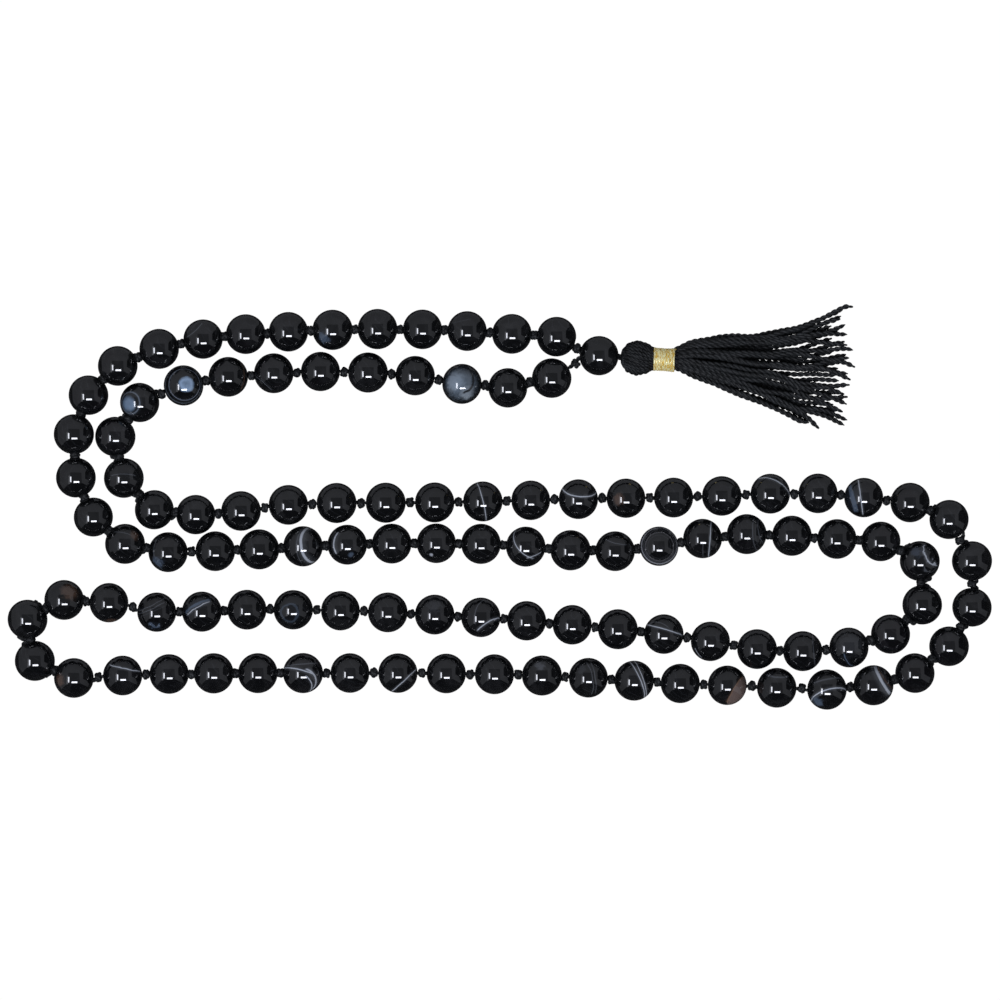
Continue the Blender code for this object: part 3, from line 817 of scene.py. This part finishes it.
def make_bead(name, place, bore, made_of, size):
    """A bead round its bore, a little shorter along it."""
    radius = BEAD_RADIUS * size
    turn = bore.to_track_quat("X", "Z")
    bm = bmesh.new()
    rings = []
    squash = 1 - rng.random() * BEAD_SQUASH
    for x, r in bead_profile(radius):
        ring = []
        for k in range(BEAD_SIDES):
            angle = 2 * math.pi * k / BEAD_SIDES
            ring.append(bm.verts.new(turn @ Vector((x * squash, r * math.cos(angle), r * math.sin(angle)))))
        rings.append(ring)
    for one, other in zip(rings, rings[1:] + rings[:1], strict=True):
        for k in range(BEAD_SIDES):
            j = (k + 1) % BEAD_SIDES
            bm.faces.new((one[k], one[j], other[j], other[k]))
    bead = finish_piece(name, bm, made_of)
    bead.location = place
    return bead


def make_beads(places, homes):
    variants = [agate(f"agate_{i + 1}", i + 1) for i in range(PLAIN_VARIANTS)]
    order = string_order()
    line = [YOKE_KNOTS[0], *(places[bead] for bead in order), YOKE_KNOTS[1]]
    for i, (letter, number) in enumerate(order):
        name = f"{letter}{number:02d}"
        bore = (line[i + 2] - line[i]).normalized()
        if name in MARKS:
            made_of = agate(f"agate_{name}", 40 + i * 0.7, MARKS[name])
        else:
            made_of = variants[i % PLAIN_VARIANTS]
        body, node = homes[letter, number]
        size = rng.uniform(*BEAD_SIZES)
        bead = make_bead(f"bead_{letter}_{number:02d}", places[letter, number], bore, made_of, size)
        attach(bead, body)
        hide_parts(node)


# Cord


def knot_line(middle, along, spin):
    """A trefoil pulled tight round the cord, as the line that it follows."""
    turned = Quaternion(along, spin) @ along.to_track_quat("X", "Z")
    tilt = Quaternion((0.0, 1.0, 0.0), rng.uniform(-0.25, 0.25))
    size = rng.uniform(0.92, 1.06)
    middle = middle + turned @ Vector((0.0, KNOT_OFFSET, 0.0))
    points = []
    for i in range(KNOT_STEPS + 1):
        t = 2 * math.pi * i / KNOT_STEPS
        ring = KNOT_RING + KNOT_SWELL * math.cos(3 * t)
        local = Vector((KNOT_HALF_LENGTH * math.sin(3 * t), ring * math.cos(2 * t), ring * math.sin(2 * t)))
        points.append(middle + turned @ (tilt @ (local * size)))
    return points


def make_knotted_cord(name, line, knot, along, made_of):
    """A stretch of cord along the line, with a knot on it."""
    bm = bmesh.new()
    lie = []
    rope(bm, lie, line, CORD_WIDTH, CORD_LAY, phase=rng.uniform(0, math.pi))
    if knot is not None:
        bend = knot_line(knot, along, rng.uniform(0, 2 * math.pi))
        rope(bm, lie, bend, KNOT_CORD, KNOT_LAY, relief=KNOT_RELIEF)
    return finish_piece(name, bm, made_of, lie)


def make_cords(places, homes, made_of):
    """The cord through each bead with the knot after it, outward from the guru bead along both strands."""
    for letter, route in (("a", STRAND_A), ("b", STRAND_B)):
        other = STRAND_B if letter == "a" else STRAND_A
        across_end = [("b" if letter == "a" else "a", other[-1][0] - i) for i in range(2)]
        beads = [(letter, number) for number in range(1, route[-1][0] + 1)] + across_end
        line = [YOKE_KNOTS[0 if letter == "a" else 1], *(places[bead] for bead in beads)]
        for i, bead in enumerate(beads[:-2]):
            before, here, after, later = line[i : i + 4]
            bore = (after - before).normalized()
            next_bore = (later - here).normalized()
            knot = (here + after) / 2
            points = [
                here - bore * (BEAD_RADIUS - TAIL / 2),
                here,
                here + bore * BEAD_RADIUS,
                knot,
                after - next_bore * BEAD_RADIUS,
                after - next_bore * (BEAD_RADIUS - TAIL),
            ]
            onward = (after - here).normalized()
            tied = bead != ("a", STRAND_A[-1][0])
            name = f"knotted_cord_{letter}_{bead[1]:02d}"
            cord = make_knotted_cord(name, smooth_line(points, 6), knot if tied else None, onward, made_of)
            body, next_body = homes[bead][0], homes[beads[i + 1]][0]
            if next_body == body:
                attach(cord, body)
            else:
                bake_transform(cord)


def tassel_axis():
    return Vector((math.cos(TASSEL_HEADING), math.sin(TASSEL_HEADING), 0.0))


def make_guru_cords(places, made_of):
    """The two ends of the loop, each knotted beside the guru bead and threaded through it to the tassel."""
    heading = tassel_axis()
    side = UP.cross(heading)
    for letter, knot, share in (("a", YOKE_KNOTS[0], 1), ("b", YOKE_KNOTS[1], -1)):
        first = places[letter, 1]
        toward = (knot - first).normalized()
        offset = side * (share * CORD_WIDTH * 0.5)
        mouth = GURU_PLACE - heading * (BEAD_RADIUS * 0.92) + offset
        line = smooth_line(
            [
                first + toward * (BEAD_RADIUS - TAIL),
                knot,
                mouth,
                GURU_PLACE + offset * 0.7,
                GURU_PLACE + heading * (BEAD_RADIUS + 0.9 * MM) + offset * 0.5,
            ],
            6,
        )
        cord = make_knotted_cord(f"guru_cord_{letter}", line, knot, toward, made_of)
        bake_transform(cord)
        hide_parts("guru_cord")


# Tassel


def tassel_frame():
    return Matrix.Translation(GURU_PLACE) @ Matrix.Rotation(TASSEL_HEADING, 4, "Z")


def head_radius(x):
    """The head's outline at a distance along the tassel's axis, in millimetres."""
    points = (*HEAD_PROFILE, (NECK_END, NECK_RADIUS))
    for (x0, r0), (x1, r1) in zip(points, points[1:], strict=False):
        if x <= x1:
            u = max(0.0, (x - x0) / (x1 - x0))
            return r0 + (r1 - r0) * (3 * u**2 - 2 * u**3 if r0 != r1 else u)
    return NECK_RADIUS


def make_guru(made_of):
    guru = make_bead("guru_bead_stone", GURU_PLACE, tassel_axis(), made_of, GURU_SIZE)
    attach(guru, "guru_bead")
    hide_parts("guru_bead")


def make_head(made_of):
    """The head: threads drawn over a core from the guru bead to the neck, each a little askew."""
    place = tassel_frame()
    bm = bmesh.new()
    lie = []
    start, end = HEAD_PROFILE[0][0], NECK_END
    xs = [end + (start - end) * i / HEAD_STEPS for i in range(HEAD_STEPS + 1)]
    core = [place @ (Vector((x, 0.0, 0.0)) * MM) for x in xs]
    tube(bm, lie, core, [(head_radius(x) - CORE_DEPTH) * MM for x in xs], CORE_SIDES)
    core_piece = finish_piece("tassel_head_core", bm, made_of, lie)
    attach(core_piece, "tassel_head")
    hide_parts("tassel_head")

    bm = bmesh.new()
    lie = []
    for i in range(HEAD_THREADS):
        askew = rng.uniform(-0.06, 0.06)
        lift = rng.uniform(-0.05, 0.12)
        line = []
        for x in xs:
            share = (x - start) / (end - start)
            angle = 2 * math.pi * i / HEAD_THREADS + HEAD_SWIRL * share + askew
            radius = max(0.12, head_radius(x) - 0.28 + lift * math.sin(math.pi * share))
            line.append(place @ (Vector((x, radius * math.cos(angle), radius * math.sin(angle))) * MM))
        phase = rng.uniform(0, math.pi)
        rope(bm, lie, line, HEAD_THREAD_WIDTH * MM, THREAD_LAY * 0.8, phase=phase, taper=0.12)
    threads = finish_piece("tassel_head_threads", bm, made_of, lie)
    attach(threads, "tassel_head")
    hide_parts("tassel_head")


def make_wrap(made_of):
    """The gold thread, wound round the neck from end to end."""
    place = tassel_frame()
    steps = 40  # in each turn
    points = []
    wander = [rng.uniform(-0.05, 0.06) for _ in range(WRAP_TURNS + 2)]
    for i in range(WRAP_TURNS * steps + 1):
        turns = i / steps
        share = turns / WRAP_TURNS
        here = int(turns)
        swell = wander[here] * (1 - turns + here) + wander[here + 1] * (turns - here)
        radius = WRAP_RADIUS + 0.1 * abs(2 * share - 1) ** 2 + swell
        x = WRAP_START + (WRAP_END - WRAP_START) * share
        angle = 2 * math.pi * turns
        points.append(place @ (Vector((x, radius * math.cos(angle), radius * math.sin(angle))) * MM))
    bm = bmesh.new()
    lie = []
    tube(bm, lie, points, [WRAP_THREAD / 2 * MM] * len(points), 7)
    wrap = finish_piece("gold_wrap", bm, made_of, lie)
    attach(wrap, "tassel_head")
    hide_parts("gold_thread_wrap")


def skirt_place(x, across, level):
    """A place in the skirt: across is 0 at its near edge and 1 at its far one, and level 0 is the bottom."""
    stations = SKIRT_STATIONS
    here = max(i for i in range(len(stations) - 1) if stations[i][0] <= x or i == 0)
    one, other = stations[here], stations[here + 1]
    u = min(1.0, (x - one[0]) / (other[0] - one[0]))
    low, high, bottom, top = (a + (b - a) * u for a, b in zip(one[1:], other[1:], strict=True))
    flat = min(1.0, max(0.0, (x - stations[2][0]) / 20))
    inside = min(1.0, max(0.0, across))
    arch = math.sqrt(1 - (2 * inside - 1) ** 2)
    rise = arch + (1 - arch) * (0.15 + 0.85 * flat)
    half = THREAD_WIDTH / MM / 2
    y = low + half + (high - low - 2 * half) * across
    middle = (bottom + top) / 2 * (1 - flat) + (bottom + half) * flat
    z_low = middle - (middle - bottom - half) * rise
    return Vector((x, y, z_low + (bottom + (top - bottom) * rise - half - z_low) * level)) * MM


def thread_line(across, level, end, tip, sway):
    """A skirt thread's line from the wrap to its tuft's tip, swaying partly with its neighbours."""
    start = SKIRT_STATIONS[0][0]
    last = SKIRT_STATIONS[-1]
    half = THREAD_WIDTH / MM / 2
    gathered = (tip - last[1] - half) / (last[2] - last[1] - 2 * half)
    phase, length = rng.uniform(0, 2 * math.pi), rng.uniform(9, 16)
    line = []
    for k in range(THREAD_POINTS + 1):
        x = start + (end - start) * k / THREAD_POINTS
        free = min(1.0, max(0.0, (x - 38) / 16))
        gather = min(1.0, max(0.0, (x - GATHER_START) / (end - GATHER_START)))
        pull = gather**2 * (2 - gather)
        point = skirt_place(x, across + (gathered - across) * pull, level)
        together = 0.45 * math.sin(2 * math.pi * (x / 30 + 2.3 * across) + 4 * level)
        alone = sway * math.sin(phase + 2 * math.pi * x / length)
        point.y += (together * (1 - pull) + alone) * free * MM
        line.append(point)
    return line


def make_skirt(made_of):
    """The skirt's threads, each a cord of its own that leaves the wrap and lies on the table."""
    count = sum(tuft[2] for tuft in TUFTS)
    near, far = SKIRT_STATIONS[-1][1:3]
    i = 0
    for tip_x, tip_y, threads in TUFTS:
        longest = tip_x
        for turn in range(threads):
            across = (i + 0.5) / count
            tip = tip_y + (turn - (threads - 1) / 2) * rng.uniform(0.4, 0.8)
            if i % 2 == 0:
                end = max(SHORTEST_END, tip_x - rng.uniform(1.4, 3.2))
                tip = 0.15 * tip + 0.85 * (near + (far - near) * across)
                line = thread_line(across, rng.uniform(0.0, 0.15), end, tip, 0.08)
            else:
                askew = rng.uniform(-0.13, 0.13)
                start = min(1.0, max(0.0, across + askew))
                line = thread_line(start, 0.8 + abs(askew), longest, tip, 0.24)
                longest -= rng.uniform(0.5, 1.2)
            lock = LOCKS[int(across * 3)]
            bm = bmesh.new()
            lie = []
            rope(bm, lie, line, THREAD_WIDTH, THREAD_LAY, phase=rng.uniform(0, math.pi), taper=0.03)
            i += 1
            thread = finish_piece(f"skirt_thread_{i:02d}", bm, made_of, lie)
            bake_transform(thread)
            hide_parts(lock)


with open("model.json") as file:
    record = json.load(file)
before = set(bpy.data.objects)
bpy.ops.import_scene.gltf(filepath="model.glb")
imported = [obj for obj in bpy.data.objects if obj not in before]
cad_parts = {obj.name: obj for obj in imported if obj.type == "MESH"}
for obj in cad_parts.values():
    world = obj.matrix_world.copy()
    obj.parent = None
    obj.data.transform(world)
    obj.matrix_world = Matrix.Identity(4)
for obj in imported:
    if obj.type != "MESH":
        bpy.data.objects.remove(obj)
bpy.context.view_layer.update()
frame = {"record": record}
make_camera()
make_studio()

soft_cotton = cotton()
make_skirt(soft_cotton)
bead_homes_found = bead_homes()
bead_places = {
    (letter, number): route_point(route, number)
    for letter, route in (("a", STRAND_A), ("b", STRAND_B))
    for number in range(1, route[-1][0] + 1)
}
make_cords(bead_places, bead_homes_found, soft_cotton)
make_guru_cords(bead_places, soft_cotton)
make_beads(bead_places, bead_homes_found)
make_guru(agate("agate_guru", 99))
make_head(soft_cotton)
make_wrap(gold_thread())
